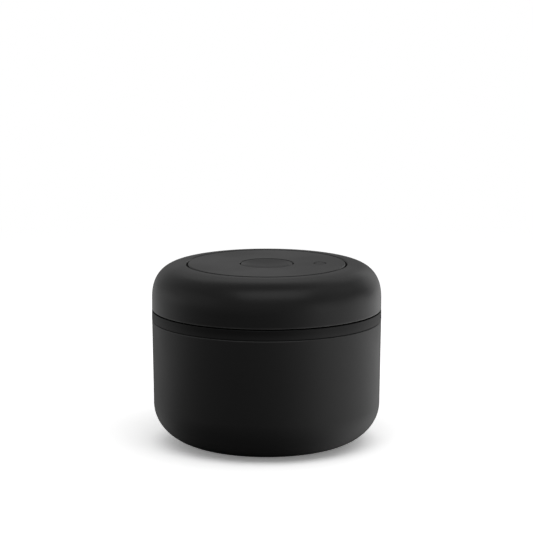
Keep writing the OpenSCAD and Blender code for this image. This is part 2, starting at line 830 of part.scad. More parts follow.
function piston_seal_z() = crown_z + seal_foot + ring_groove_h / 2;
function column_seal_z() = crown_z + hub_h / 2;
function guide_seal_z() = crown_z + guide_hub_h / 2;

module piston_seal() {
    round_ring(bore_r - seat_fit - ring_r, piston_seal_z());
}

module column_seal() {
    round_ring(column_r + seat_fit + ring_r, column_seal_z());
}

module guide_seal() {
    translate([indicator_x, 0, 0])
        round_ring(indicator_column_r + seat_fit + ring_r, guide_seal_z());
}

module exhaust_valve() {
    translate([0, flap_x, exhaust_seat_z]) flap_valve();
}

module follower_pins() {
    start = leg_inner_r - pin_stub;
    length = pin_tip_r - start;
    color(steel_grey) around(follower_angles, start) translate([0, 0, pin_z])
        rotate([0, 90, 0]) turned([
            [0, 0], [pin_r - pin_edge_r, 0], [pin_r, pin_edge_r], [pin_r, length - pin_edge_r],
            [pin_r - pin_edge_r, length], [0, length]]);
}

module twist_cap() {
    color(soft_black) difference() {
        union() {
            turned(concat(
                [[cap_inner_r, cap_bottom_z]],
                arc([cap_r - edge_r, cap_bottom_z + edge_r], edge_r, -90, 0),
                backward(shoulder_curve(0)),
                arc([cap_hole_r + fine_edge_r, top_z - fine_edge_r], fine_edge_r, 90, 180),
                [[cap_hole_r, top_z - cap_wall]],
                shoulder_curve(cap_wall)));
            intersection() {
                union() {
                    around(cap_lug_angles, cap_screw_x) drum(boss_r, cap_lug_z, top_z);
                    around(cap_rib_angles)
                        bar(sleeve_r + bite, cap_r, cap_rib_t, top_z - cap_wall - cap_rib_h, top_z);
                }
                turned(concat(
                    [[0, shoulder_z - bite], [cap_r - cap_wall / 2, shoulder_z - bite]],
                    backward(shoulder_curve(cap_wall / 2)), [[0, top_z - cap_wall / 2]]));
            }
        }
        around(cap_lug_angles, cap_screw_x)
            drum(screw_r + seat_fit, cap_lug_z - over,
                cap_lug_z - cap_lug_t + cap_screw_l + hole_spare);
    }
}

// The helical groove of one follower pin, as it meets the pin at angle 0
module cam_groove() {
    low_a = -entry_angle;
    high_a = cap_twist + end_angle;
    points = [for (i = [0:cam_steps])
        let (a = low_a + (high_a - low_a) * i / cam_steps, z = pin_z + stroke * a / cap_twist)
        each [for (r = [sleeve_bore_r - over, cam_r], half = [-cam_half, cam_half])
            [r * cos(-a), r * sin(-a), z + half]]];
    sides = [[0, 2], [2, 3], [3, 1], [1, 0]];
    walls = [for (i = [0:cam_steps - 1], s = sides) let (k = 4 * i)
        each [[k + s[0], k + 4 + s[0], k + 4 + s[1]], [k + s[0], k + 4 + s[1], k + s[1]]]];
    caps = [[0, 3, 1], [0, 2, 3],
        for (f = [[0, 1, 3], [0, 3, 2]]) [for (v = f) 4 * cam_steps + v]];
    polyhedron(points = points, faces = concat(walls, caps));
    rotate([0, 0, entry_angle])
        bar(sleeve_bore_r - over, cam_r, 2 * cam_half, sleeve_z - over,
            pin_z - stroke * entry_angle / cap_twist);
}

module cam_sleeve() {
    lug_low = cap_lug_z - cap_lug_t;
    color(natural_white) difference() {
        union() {
            turned([
                [sleeve_bore_r, sleeve_z], [sleeve_r, sleeve_z], [sleeve_r, sleeve_end_z],
                [ledge_r, sleeve_end_z], [ledge_r, ledge_z], [sleeve_bore_r, ledge_z]]);
            around(cap_lug_angles)
                bar(sleeve_r - cam_back / 2, cap_screw_x, 2 * boss_r, lug_low, cap_lug_z);
            around(cap_lug_angles, cap_screw_x) drum(boss_r, lug_low, cap_lug_z);
        }
        around(follower_angles) cam_groove();
        around(cap_lug_angles, cap_screw_x) drum(screw_hole_r, lug_low - over, cap_lug_z + over);
    }
}

module cap_screws() {
    around(cap_lug_angles, cap_screw_x) translate([0, 0, cap_lug_z - cap_lug_t])
        rotate([180, 0, 0]) screw(cap_screw_l);
}

canister_body();
lid_base();
lid_gasket();
vent_cover();
filter_screen();
inlet_valve();
pump_barrel();
barrel_seal();
barrel_screws();
top_carrier();
carrier_screws();
top_disc();
indicator_sleeve();
indicator_diaphragm();
indicator_spring();
indicator_pin();
release_button();
button_spring();
valve_stem();
release_valve();
piston();
piston_seal();
column_seal();
guide_seal();
exhaust_valve();
follower_pins();
twist_cap();
cam_sleeve();
cap_screws();
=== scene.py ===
"""Vacuum coffee canister: the finish of the black steel canister and its twist lid."""

import math

import bmesh
import bpy
from mathutils import Matrix, Vector


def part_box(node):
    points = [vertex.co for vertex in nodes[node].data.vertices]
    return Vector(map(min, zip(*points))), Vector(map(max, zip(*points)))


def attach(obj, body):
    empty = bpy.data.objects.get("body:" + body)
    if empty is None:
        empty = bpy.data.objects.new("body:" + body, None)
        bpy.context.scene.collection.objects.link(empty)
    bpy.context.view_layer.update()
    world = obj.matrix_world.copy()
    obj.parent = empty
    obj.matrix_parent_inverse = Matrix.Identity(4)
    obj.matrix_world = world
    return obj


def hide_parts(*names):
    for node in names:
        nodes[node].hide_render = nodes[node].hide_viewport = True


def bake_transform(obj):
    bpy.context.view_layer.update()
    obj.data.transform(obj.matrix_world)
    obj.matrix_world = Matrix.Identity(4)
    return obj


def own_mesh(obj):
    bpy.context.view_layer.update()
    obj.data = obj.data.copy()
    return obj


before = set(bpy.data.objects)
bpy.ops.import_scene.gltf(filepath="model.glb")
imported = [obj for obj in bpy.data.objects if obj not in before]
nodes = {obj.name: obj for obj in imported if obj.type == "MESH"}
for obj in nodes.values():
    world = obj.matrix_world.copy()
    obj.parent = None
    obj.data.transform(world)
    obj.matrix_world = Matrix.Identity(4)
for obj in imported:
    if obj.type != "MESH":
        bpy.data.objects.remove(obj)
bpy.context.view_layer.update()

MM = 0.001

# Sizes of the canister, in millimetres
CAN_WALL = 0.8
CAN_DRAFT = 0.65
RIM_R = 0.55
RIM_INNER_R = 0.2
RIM_DROP = 0.15
FOOT_CORNER_H = 21.5
FOOT_CORNER_W = 26.8
FOOT_FULLNESS = 2.05
FOOT_RING_W = 1.2
FOOT_SLOPE_W = 1.2
FOOT_RECESS = 0.9
FOOT_EDGE_R = 0.5

# Sizes of the cap, its ribs and the lugs of its screws
CAP_WALL = 2.2
CAP_LAND = 0.3
CAP_EDGE_DROP = 0.15
CAP_HOLE_EDGE_R = 1.2
SHOULDER_H = 17.8
SHOULDER_FULLNESS = 2.45
RIB_T = 1.2
RIB_H = 6.0
RIB_START_R = 45.35
RIB_ANGLES = (15, 75, 105, 135, 195, 225, 255, 315, 345)
LUG_ANGLES = (45, 165, 285)
LUG_R = 3.2
LUG_X = 48.35
LUG_DROP = 8.2
PILOT_R = 1.3
PILOT_DEPTH = 6.1

# Sizes of the disc in the middle of the cap
PLATE_T = 1.5
PLATE_EDGE_R = 0.85
PLATE_GAP = 0.5
BUTTON_GAP = 0.4
PIN_HOLE_R = 3.15
SLEEVE_HOLE_R = 5.05
PIN_SKIN = 0.7
SKIRT_T = 1.4
SKIRT_INSET = 0.8
SKIRT_H = 1.15
NOTCH_W = 5.0
NOTCHES = 6
PEG_R = 1.5
PEG_L = 3.0
PEG_X = 35.0
PEG_ANGLES = (0, 90, 180)

# Sizes of the button
BUTTON_WALL = 1.6
BUTTON_RIM_W = 0.5
BUTTON_HUB_DROP = 1.3
BUTTON_HUB_R = 3.5
BUTTON_RIBS = 6
BUTTON_RIB_T = 1.2
DISH_DEPTH = 1.7
DISH_EDGE_R = 0.8
STEM_HOLE_R = 1.65
STEM_SOCKET = 3.0

# Sizes of the indicator
PIN_H = 6.6
PIN_R = 2.8
DIAPHRAGM_RIM_R = 3.75
DIAPHRAGM_RIM_T = 0.8
DIAPHRAGM_PAD_R = 2.75
DIAPHRAGM_PAD_T = 0.5

# Springs: radius of the coil, of the wire and number of turns
BUTTON_COIL = (3.1, 0.35, 8)
PIN_COIL = (2.2, 0.25, 7)

# Rounding of the edges, and the plain strip that holds the light beside a rounding
EDGE_R = 0.4
SEAM_EDGE_R = 0.6
FINE_EDGE_R = 0.25
SUPPORT = 0.25
SHARP_ANGLE = math.radians(20)

# Fineness of the pieces: steps round the axis and along a curve
AROUND = 256
BUTTON_AROUND = 192
SMALL_AROUND = 96
FLOOR_AROUND = 96
LUG_AROUND = 48
PEG_AROUND = 32
SKIRT_STEPS = 36
ROUND_STEPS = 6
CORNER_STEPS = 48
DISH_STEPS = 20
COIL_STEPS = 32
WIRE_AROUND = 10

# Points closer than this are one, and a face whose normal rises more than this looks up
MERGE_DISTANCE = 0.0005
LEVEL_LIMIT = 0.001

# Grain of the materials: how far tone and roughness vary, and the two noises (detail, roughness)
TONE_SPREAD = 0.12
ROUGHNESS_SPREAD = 0.06
GRAIN_NOISE = (3.0, 0.6)
GRAIN_SHARE = 0.6
CLOUD_NOISE = (2.0, 0.5)
CLOUD_SCALE = 28.0
NOISE_RANGE = (0.3, 0.7)

# Patches in the painted highlight along an edge
PATCH_SCALE = 160.0
PATCH_RANGE = (0.3, 0.6)
PATCH_LEAST = 0.6

# Weave of the filter screen: pitch, share that is wire, height, and how dark the painted shade in
# its open squares is
SCREEN_PITCH = 0.4
SCREEN_WIRE = 0.45
SCREEN_DEPTH = 0.06
SCREEN_HOLE_SHADE = 0.9

# Painted shade on the band between the can and the cap, darker up towards the gap
BAND_SHADE_H = 4.0
BAND_SHADE_TONE = 0.4

# Colour of bare steel
STEEL = (0.55, 0.55, 0.54)

# Even blend of the weight that tells how nearly edge on a surface is seen
FACING_BLEND = 0.5

# Camera of the photograph: the distance, the height of its aim and its angle fit the outline
CAMERA_DISTANCE = 1.44004
CAMERA_AIM_Z = 0.091155
CAMERA_ELEVATION = math.radians(9.944)
CAMERA_LENS = 190.9
CAMERA_SENSOR_W = 36.0
CAMERA_SHIFT_X = -0.0003

# Lamps: place, size and power. All of them face the middle of the object
LAMP_AIM = (0, 0, 0.05)
LAMPS = {
    "overhead": ((0.1, -0.62, 1.0), (1.2, 0.7), 4.45),
    "overhead_back": ((0.1, 0.75, 1.0), (1.3, 0.5), 1.1),
    "right_low": ((1.15, -0.15, 0.13), (1.5, 0.24), 0.98),
    "right_back": ((0.7, 1.05, 0.35), (0.8, 0.6), 0.8),
    "left_back": ((-0.85, 0.85, 0.25), (1.0, 0.45), 0.14),
    "left_wall": ((-1.15, -0.2, 0.4), (1.2, 0.6), 0.75),
    "left_low": ((-1.1, 0.35, 0.13), (0.9, 0.24), 0.3),
    "front_right_low": ((1.0, -0.75, 0.2), (0.7, 0.35), 0.48),
    "right_high": ((0.9, 0.0, 0.95), (0.7, 0.9), 0.78),
}
WHITE = (1, 1, 1, 1)
WORLD_FILL = 0.455

# Floor to the camera: it takes the shadow near the object, and is even white further out
FLOOR_R = 3.0
FLOOR_SHADE_R = 0.35
FLOOR_WHITE_R = 0.7
FLOOR_GAIN = 1.66
FLOOR_LIFT = 0.17

# Floor in gloss and as a source of light: a glow with painted shade, pale behind and dim in front,
# most of all a little to the left of the front, paler towards the right, and with a painted shadow
# under the object
FLOOR_PALE = 1.0
FLOOR_DIM = 0.095
FLOOR_DIM_SIDE = math.radians(-20)
FLOOR_DIM_RANGE = (0.1, 1.0)
FLOOR_RIGHT = 0.4
FLOOR_PAINTED_SHADOW = (0.03, 0.08)
FLOOR_BOUNCE = 0.12


def named_box(node):
    """Lowest and highest corner of a CAD node in millimetres."""
    low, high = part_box(node)
    return low / MM, high / MM


can_high = named_box("canister_body")[1]
cap_low, cap_high = named_box("twist_cap")
disc_high = named_box("top_disc")[1]
button_low, button_high = named_box("release_button")
pin_low, pin_high = named_box("indicator_pin")

can_r = can_high.x
can_h = can_high.z
cap_r = cap_high.x
cap_bottom = cap_low.z - CAP_EDGE_DROP
top = cap_high.z
plate_r = disc_high.x
plate_z = top - PLATE_T
cap_hole_r = plate_r + PLATE_GAP
button_r = button_high.x
pin_x = (pin_low.x + pin_high.x) / 2


# Tools for the meshes, which are made in millimetres

def finish_mesh(bm, name):
    """Turns a bmesh in millimetres into a mesh in metres that is smooth up to its sharp edges."""
    bmesh.ops.remove_doubles(bm, verts=bm.verts, dist=MERGE_DISTANCE)
    bmesh.ops.recalc_face_normals(bm, faces=bm.faces)
    bmesh.ops.scale(bm, vec=(MM, MM, MM), verts=bm.verts)
    for face in bm.faces:
        face.smooth = True
    for edge in bm.edges:
        edge.smooth = len(edge.link_faces) == 2 and edge.calc_face_angle(0) < SHARP_ANGLE
    mesh = bpy.data.meshes.new(name)
    bm.to_mesh(mesh)
    bm.free()
    return mesh


def add_piece(name, bm, body, materials, slot, *replaced):
    """Adds a finished bmesh as a piece that rides on a body, or on none where it is blended."""
    mesh = finish_mesh(bm, name)
    piece = bpy.data.objects.new(name, mesh)
    bpy.context.scene.collection.objects.link(piece)
    for material in materials:
        mesh.materials.append(material)
    if body:
        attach(piece, body)
    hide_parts(*replaced)
    return piece


def full_corner(centre, width, height, fullness):
    """Points of a full corner, from straight above its centre to straight beside it."""
    points = []
    for step in range(CORNER_STEPS + 1):
        angle = math.pi / 2 * (1 - step / CORNER_STEPS)
        across = max(math.cos(angle), 0) ** (2 / fullness)
        up = max(math.sin(angle), 0) ** (2 / fullness)
        points.append((centre[0] + width * across, centre[1] + height * up))
    return points


def rounded(points, closed=True):
    """An outline of (radius, height) points. One with a third number is rounded to that radius."""
    outline = []
    for index, point in enumerate(points):
        corner = Vector(point[:2])
        end = not closed and index in (0, len(points) - 1)
        if len(point) < 3 or end:
            outline.append(tuple(corner))
            continue
        sides = [Vector(other[:2]) - corner
                 for other in (points[index - 1], points[(index + 1) % len(points)])]
        before, after = [side.normalized() for side in sides]
        half = before.angle(after) / 2
        reach = point[2] / math.tan(half)
        middle = corner + (before + after).normalized() * point[2] / math.sin(half)
        first, last = corner + before * reach - middle, corner + after * reach - middle
        arc = [middle + point[2] * first.slerp(last, step / ROUND_STEPS).normalized()
               for step in range(ROUND_STEPS + 1)]
        if sides[0].length > 2 * (reach + SUPPORT):
            arc.insert(0, corner + before * (reach + SUPPORT))
        if sides[1].length > 2 * (reach + SUPPORT):
            arc.append(corner + after * (reach + SUPPORT))
        outline.extend(tuple(spot) for spot in arc)
    return outline


def edges_of(verts):
    """The edges that meet some vertices, each of them once and always in the same order."""
    return list(dict.fromkeys(edge for vert in verts for edge in vert.link_edges))


def turn(bm, outline, closed=True, segments=AROUND, centre=(0, 0), angle=math.tau, start=0.0):
    """Turns an outline about an upright axis. A part turn gets a face at each end."""
    old = set(bm.verts)
    verts = [bm.verts.new((r, 0, z)) for r, z in outline]
    pairs = list(zip(verts, verts[1:])) + ([(verts[-1], verts[0])] if closed else [])
    edges = [bm.edges.new(pair) for pair in pairs]
    bmesh.ops.rotate(bm, verts=verts, cent=(0, 0, 0), matrix=Matrix.Rotation(start, 3, "Z"))
    full = angle == math.tau
    bmesh.ops.spin(bm, geom=verts + edges, cent=(0, 0, 0), axis=(0, 0, 1), angle=angle,
                   steps=segments, use_merge=full)
    made = [vert for vert in bm.verts if vert not in old]
    bmesh.ops.remove_doubles(bm, verts=made, dist=MERGE_DISTANCE)
    made = [vert for vert in bm.verts if vert not in old]
    if not full:
        ends = [edge for edge in edges_of(made) if len(edge.link_faces) == 1]
        bmesh.ops.holes_fill(bm, edges=ends)
    bmesh.ops.translate(bm, verts=made, vec=(*centre, 0))


def turn_open(bm, points, **options):
    """Rounds and turns an outline whose ends stay apart, on the axis or at a seam."""
    turn(bm, rounded(points, closed=False), closed=False, **options)


def sheet_with_holes(bm, circles, height):
    """A flat face inside the first circle, with the others cut out of it."""
    edges = []
    for centre, radius, segments in circles:
        place = Matrix.Translation((*centre, height))
        ring = bmesh.ops.create_circle(bm, radius=radius, segments=segments, matrix=place)
        edges.extend(edges_of(ring["verts"]))
    bmesh.ops.triangle_fill(bm, use_beauty=True, edges=edges, normal=(0, 0, 1))


def bar(bm, start, end, width, low, high, angle=0.0):
    """A bar that runs out from one radius to another at an angle about the z axis."""
    place = (Matrix.Rotation(angle, 4, "Z")
             @ Matrix.Translation(((start + end) / 2, 0, (low + high) / 2))
             @ Matrix.Diagonal((end - start, width, high - low, 1)))
    bmesh.ops.create_cube(bm, size=1, matrix=place)


def slab(bm, outline, thickness, angle):
    """A flat rib with an outline of (radius, height) points, at an angle about the z axis."""
    verts = [bm.verts.new((r, -thickness / 2, z)) for r, z in outline]
    face = bm.faces.new(verts)
    grown = bmesh.ops.extrude_face_region(bm, geom=[face], use_keep_orig=True)["geom"]
    moved = [part for part in grown if isinstance(part, bmesh.types.BMVert)]
    bmesh.ops.translate(bm, verts=moved, vec=(0, thickness, 0))
    turned = Matrix.Rotation(angle, 3, "Z")
    bmesh.ops.rotate(bm, verts=verts + moved, cent=(0, 0, 0), matrix=turned)


def around(angles, x):
    """The places at one radius and several angles in degrees."""
    return [(x * math.cos(math.radians(a)), x * math.sin(math.radians(a))) for a in angles]


# Tools for the materials. Each adds a node to a tree and hands on what it gives

def feed(tree, node, values):
    """Gives inputs of a node their values. A value that comes from another node is linked."""
    for key, value in values.items():
        if isinstance(value, bpy.types.NodeSocket):
            tree.links.new(value, node.inputs[key])
        else:
            node.inputs[key].default_value = value
    return node


def object_place(tree):
    """Where a spot is on its object."""
    return tree.nodes.new("ShaderNodeTexCoord").outputs["Object"]


def axes(tree, vector):
    """The X, Y and Z of a vector."""
    return feed(tree, tree.nodes.new("ShaderNodeSeparateXYZ"), {"Vector": vector}).outputs


def noise(tree, place, scale, detail, roughness):
    """A noise with its scale, detail and roughness."""
    node = tree.nodes.new("ShaderNodeTexNoise")
    feed(tree, node, {"Vector": place, "Scale": scale, "Detail": detail, "Roughness": roughness})
    return node.outputs["Fac"]


def spread(tree, value, low, high, to_low, to_high):
    """Maps a value smoothly from one range to another."""
    node = tree.nodes.new("ShaderNodeMapRange")
    node.interpolation_type = "SMOOTHSTEP"
    feed(tree, node, {"Value": value, "From Min": low, "From Max": high, "To Min": to_low,
                      "To Max": to_high})
    return node.outputs["Result"]


def maths(tree, operation, first, second=0.0):
    """One step of arithmetic with numbers."""
    node = tree.nodes.new("ShaderNodeMath")
    node.operation = operation
    return feed(tree, node, {0: first, 1: second}).outputs["Value"]


def vector_maths(tree, operation, values):
    """One step of arithmetic with vectors. It hands on all outputs of the node."""
    node = tree.nodes.new("ShaderNodeVectorMath")
    node.operation = operation
    return feed(tree, node, values).outputs


def scaled(tree, colour, factor):
    """A colour times a factor."""
    return vector_maths(tree, "SCALE", {0: colour, "Scale": factor})["Vector"]


def diagonal(tree, across, up):
    """How far away a spot is that lies so far across and so far up."""
    squares = [maths(tree, "POWER", side, 2.0) for side in (across, up)]
    return maths(tree, "SQRT", maths(tree, "ADD", *squares))


def plain_shader(tree, kind, **values):
    """A simple shader, such as a lamp's glow or a matt surface."""
    return feed(tree, tree.nodes.new("ShaderNode" + kind), values).outputs[0]


def mixed(tree, share, first, second):
    """Two shaders, mixed by the share of the second."""
    node = tree.nodes.new("ShaderNodeMixShader")
    return feed(tree, node, {0: share, 1: first, 2: second}).outputs["Shader"]


def raise_surface(tree, shader, height, distance):
    """Raises the surface of a shader by a height of 0 to 1, over a distance in millimetres."""
    bump = tree.nodes.new("ShaderNodeBump")
    feed(tree, bump, {"Strength": 1.0, "Distance": distance * MM, "Height": height})
    feed(tree, shader, {"Normal": bump.outputs["Normal"]})


# Node groups that the materials share

def new_group(name, inputs, outputs):
    """A node group, with what comes in from its inputs and the node of its outputs."""
    group = bpy.data.node_groups.new(name, "ShaderNodeTree")
    for direction, labels in (("INPUT", inputs), ("OUTPUT", outputs)):
        for label in labels:
            group.interface.new_socket(label, in_out=direction, socket_type="NodeSocketFloat")
    return group, group.nodes.new("NodeGroupInput").outputs, group.nodes.new("NodeGroupOutput")


def use_group(tree, group, values):
    """Adds a shared group to a material. It hands on all outputs of the group."""
    node = tree.nodes.new("ShaderNodeGroup")
    node.node_tree = group
    return feed(tree, node, values).outputs


def build_surface_grain():
    """Fine grain of a coat or a moulding: tone, roughness and height that vary a little."""
    group, given, result = new_group("surface_grain", ("Grain Scale", "Base Roughness"),
                                     ("Tone", "Roughness", "Height"))
    place = object_place(group)
    grain = noise(group, place, given["Grain Scale"], *GRAIN_NOISE)
    cloud = noise(group, place, CLOUD_SCALE, *CLOUD_NOISE)
    both = maths(group, "ADD", maths(group, "MULTIPLY", grain, GRAIN_SHARE),
                 maths(group, "MULTIPLY", cloud, 1 - GRAIN_SHARE))
    base = given["Base Roughness"]
    smoother = maths(group, "SUBTRACT", base, ROUGHNESS_SPREAD / 2)
    rougher = maths(group, "ADD", base, ROUGHNESS_SPREAD / 2)
    feed(group, result, {
        "Tone": spread(group, both, *NOISE_RANGE, 1 - TONE_SPREAD / 2, 1 + TONE_SPREAD / 2),
        "Roughness": spread(group, cloud, *NOISE_RANGE, smoother, rougher),
        "Height": grain})
    return group


def build_painted_highlight_ring():
    """Mask along a round edge, where a coat or a moulding is painted paler as a highlight, in
    patches.
    """
    group, given, result = new_group("painted_highlight_ring", ("Edge Radius", "Edge Height", "Width"),
                                     ("Mask",))
    place = object_place(group)
    x, y, z = axes(group, place)
    beside = maths(group, "SUBTRACT", diagonal(group, x, y), given["Edge Radius"])
    above = maths(group, "SUBTRACT", z, given["Edge Height"])
    away = maths(group, "DIVIDE", diagonal(group, beside, above), given["Width"])
    near = maths(group, "MAXIMUM", maths(group, "SUBTRACT", 1.0, away))
    patches = spread(group, noise(group, place, PATCH_SCALE, *CLOUD_NOISE), *PATCH_RANGE,
                     PATCH_LEAST, 1.0)
    feed(group, result, {"Mask": maths(group, "MULTIPLY", near, patches)})
    return group


def build_weave():
    """Wires of a fine woven screen, as a height and as a mask of its open squares."""
    group, given, result = new_group("wire_weave", ("Pitch", "Wire"), ("Height", "Open"))
    x, y, _ = axes(group, object_place(group))
    from_wires = []
    for side in (x, y):
        step = maths(group, "FRACT", maths(group, "DIVIDE", side, given["Pitch"]))
        from_wires.append(maths(group, "ABSOLUTE", maths(group, "SUBTRACT", step, 0.5)))
    away = maths(group, "MULTIPLY", maths(group, "MINIMUM", *from_wires), 2.0)
    feed(group, result, {"Height": maths(group, "SUBTRACT", 1.0, away),
                         "Open": maths(group, "GREATER_THAN", away, given["Wire"])})
    return group


surface_grain = build_surface_grain()
painted_highlight_ring = build_painted_highlight_ring()
wire_weave = build_weave()


# Materials

def new_material(name, view_colour):
    """A new material, its node tree and its shader."""
    material = bpy.data.materials.new(name)
    material.use_nodes = True
    material.diffuse_color = (*view_colour, 1)
    tree = material.node_tree
    return material, tree, tree.nodes["Principled BSDF"]


def parts_of(material):
    """The node tree of a material, its shader and what gives the shader its colour."""
    tree = material.node_tree
    shader = tree.nodes["Principled BSDF"]
    return tree, shader, shader.inputs["Base Color"].links[0].from_socket


def grained(name, colour, roughness, grain_scale, grain_height, ior=1.5, metallic=0.0, painted_highlights=()):
    """A matt or satin material whose grain comes from the shared group.

    The height of the grain is in millimetres. So are the radius, height and width of each edge
    with a painted highlight, whose fourth number is its strength.
    """
    material, tree, shader = new_material(name, colour)
    grain = use_group(tree, surface_grain,
                      {"Grain Scale": grain_scale, "Base Roughness": roughness})
    tone = grain["Tone"]
    # Painted highlights: the tone is made paler along round edges
    for edge_r, edge_z, width, strength in painted_highlights:
        ring = use_group(tree, painted_highlight_ring, {
            "Edge Radius": edge_r * MM, "Edge Height": edge_z * MM, "Width": width * MM})
        tone = maths(tree, "ADD", tone, maths(tree, "MULTIPLY", ring["Mask"], strength))
    feed(tree, shader, {"Base Color": scaled(tree, colour, tone),
                        "Roughness": grain["Roughness"], "IOR": ior, "Metallic": metallic})
    raise_surface(tree, shader, grain["Height"], grain_height)
    return material


def woven(material, pitch, wire, depth):
    """Turns a material into a woven screen: raised wires, with painted shade in the open squares
    between them.
    """
    tree, shader, colour = parts_of(material)
    weave = use_group(tree, wire_weave, {"Pitch": pitch * MM, "Wire": wire})
    # Painted shade in the open squares, where the screen would be seen through
    dark = maths(tree, "MULTIPLY", weave["Open"], SCREEN_HOLE_SHADE)
    feed(tree, shader, {"Base Color": scaled(tree, colour, maths(tree, "SUBTRACT", 1.0, dark))})
    raise_surface(tree, shader, weave["Height"], depth)


def paint_band_shade(material, low, high, tone):
    """Paints shade on a band, from its full tone at one height to a darker one at another."""
    tree, shader, colour = parts_of(material)
    height = axes(tree, object_place(tree))["Z"]
    depth = spread(tree, height, low * MM, high * MM, 1.0, tone)
    feed(tree, shader, {"Base Color": scaled(tree, colour, depth)})


def dull_edge_on(material, strength, power):
    """Lets a matt surface lose part of its gloss where it is seen nearly edge on."""
    tree, shader, colour = parts_of(material)
    matt = plain_shader(tree, "BsdfDiffuse", Color=colour)
    weight = feed(tree, tree.nodes.new("ShaderNodeLayerWeight"), {"Blend": FACING_BLEND})
    edge_on = maths(tree, "POWER", weight.outputs["Facing"], power)
    share = maths(tree, "MULTIPLY", edge_on, strength)
    feed(tree, tree.nodes["Material Output"],
         {"Surface": mixed(tree, share, shader.outputs["BSDF"], matt)})


# Name, colour, roughness, scale of the grain and its height
# Painted highlights make the tone paler along the can's rim, the cap's lower edge and the button's
# rim
powder_black = grained("powder_black", (0.006, 0.006, 0.006), 0.46, 2600.0, 0.02, ior=1.32,
                       painted_highlights=[(can_r, can_h - RIM_DROP - RIM_R / 2, 0.5, 3.2)])
soft_black = grained("soft_black", (0.008, 0.008, 0.008), 0.35, 3400.0, 0.01, ior=1.27,
                     painted_highlights=[(cap_r, cap_bottom, 0.8, 6.0), (button_r, button_high.z, 0.6, 0.8)])
band_black = grained("band_black", (0.01, 0.01, 0.01), 0.35, 3400.0, 0.01, ior=1.24)
# Painted shade on the band, darkest up at the gap under the cap
paint_band_shade(band_black, can_h, can_h + BAND_SHADE_H, BAND_SHADE_TONE)
dull_edge_on(powder_black, 0.75, 4.5)
dull_edge_on(soft_black, 0.75, 6.0)
dull_edge_on(band_black, 0.9, 1.5)
screen_steel = grained("screen_steel", STEEL, 0.3, 1500.0, 0.003, metallic=1.0)
woven(screen_steel, SCREEN_PITCH, SCREEN_WIRE, SCREEN_DEPTH)
bare_steel = grained("bare_steel", STEEL, 0.32, 900.0, 0.004, metallic=1.0)
small_steel = grained("small_steel", (0.6, 0.6, 0.6), 0.25, 1500.0, 0.003, metallic=1.0)
grey_plastic = grained("grey_plastic", (0.09, 0.092, 0.095), 0.45, 2200.0, 0.01)
natural_plastic = grained("natural_plastic", (0.72, 0.71, 0.67), 0.38, 1800.0, 0.008)
black_acetal = grained("black_acetal", (0.02, 0.02, 0.02), 0.4, 2000.0, 0.008)
silicone = grained("silicone", (0.30, 0.31, 0.32), 0.55, 2400.0, 0.01)
signal_green = grained("signal_green", (0.06, 0.36, 0.12), 0.4, 2000.0, 0.008)


# Pieces

def make_canister():
    """The drawn can: black outside and over its rim, bare steel inside."""
    low_r = can_r - CAN_DRAFT
    foot_r = low_r - FOOT_CORNER_W
    ring_r = foot_r - FOOT_RING_W
    recess_r = ring_r - FOOT_SLOPE_W
    rim_z = can_h - RIM_DROP
    floor_z = FOOT_RECESS + CAN_WALL

    def foot(inset):
        """Points of the foot's corner from the ring up, so far inside the outer face."""
        corner = full_corner((foot_r, 0), FOOT_CORNER_W - inset, FOOT_CORNER_H - inset,
                             FOOT_FULLNESS)
        return [(r, FOOT_CORNER_H - z) for r, z in corner]

    bm = bmesh.new()
    turn_open(bm, [
        (0, FOOT_RECESS), (recess_r, FOOT_RECESS, FOOT_EDGE_R), (ring_r, 0, FOOT_EDGE_R),
        *foot(0), (can_r, rim_z, RIM_R), (can_r - CAN_WALL, rim_z, RIM_INNER_R),
        *reversed(foot(CAN_WALL)), (ring_r, CAN_WALL, FOOT_EDGE_R),
        (recess_r, floor_z, FOOT_EDGE_R), (0, floor_z)])
    bmesh.ops.recalc_face_normals(bm, faces=bm.faces)
    for face in bm.faces:
        centre = face.calc_center_median()
        inward = face.normal.x * centre.x + face.normal.y * centre.y < 0
        rim = centre.z > rim_z - RIM_R
        inner = face.normal.z > LEVEL_LIMIT or (inward and centre.z > floor_z)
        face.material_index = 1 if inner and not rim else 0
    add_piece("canister", bm, "canister", [powder_black, bare_steel], "coated_steel",
              "canister_body")


def shoulder(inset):
    """Points of the cap's shoulder from its hole down, so far inside the outer face."""
    start_r = cap_hole_r + CAP_LAND
    return full_corner((start_r, top - SHOULDER_H), cap_r - start_r - inset, SHOULDER_H - inset,
                       SHOULDER_FULLNESS)


def make_cap():
    """The domed ring, with the ribs and screw lugs inside it."""
    outside = [point for point in shoulder(0) if point[0] > cap_hole_r + CAP_HOLE_EDGE_R + SUPPORT]
    bm = bmesh.new()
    turn(bm, rounded(
        [(cap_r - CAP_WALL, cap_bottom, FINE_EDGE_R), (cap_r, cap_bottom, EDGE_R),
         *reversed(outside), (cap_hole_r, top, CAP_HOLE_EDGE_R), (cap_hole_r, top - CAP_WALL),
         *shoulder(CAP_WALL)]))
    low = top - CAP_WALL - RIB_H
    crest = [(r, z) for r, z in shoulder(CAP_WALL / 2) if z > low and r > RIB_START_R]
    crest_z = max(z for r, z in crest)
    rib = [(RIB_START_R, low), (RIB_START_R, crest_z), *crest, (crest[-1][0], low)]
    for angle in RIB_ANGLES:
        slab(bm, rib, RIB_T, math.radians(angle))
    lug_low = top - CAP_WALL - LUG_DROP
    lug_high = min(z for r, z in shoulder(0) if r < LUG_X + LUG_R) - EDGE_R
    for place in around(LUG_ANGLES, LUG_X):
        turn_open(bm, [
            (0, lug_low + PILOT_DEPTH), (PILOT_R, lug_low + PILOT_DEPTH), (PILOT_R, lug_low),
            (LUG_R, lug_low, FINE_EDGE_R), (LUG_R, lug_high), (0, lug_high)],
            segments=LUG_AROUND, centre=place)
    add_piece("cap", bm, "cap", [soft_black], "lid_plastic", "twist_cap")


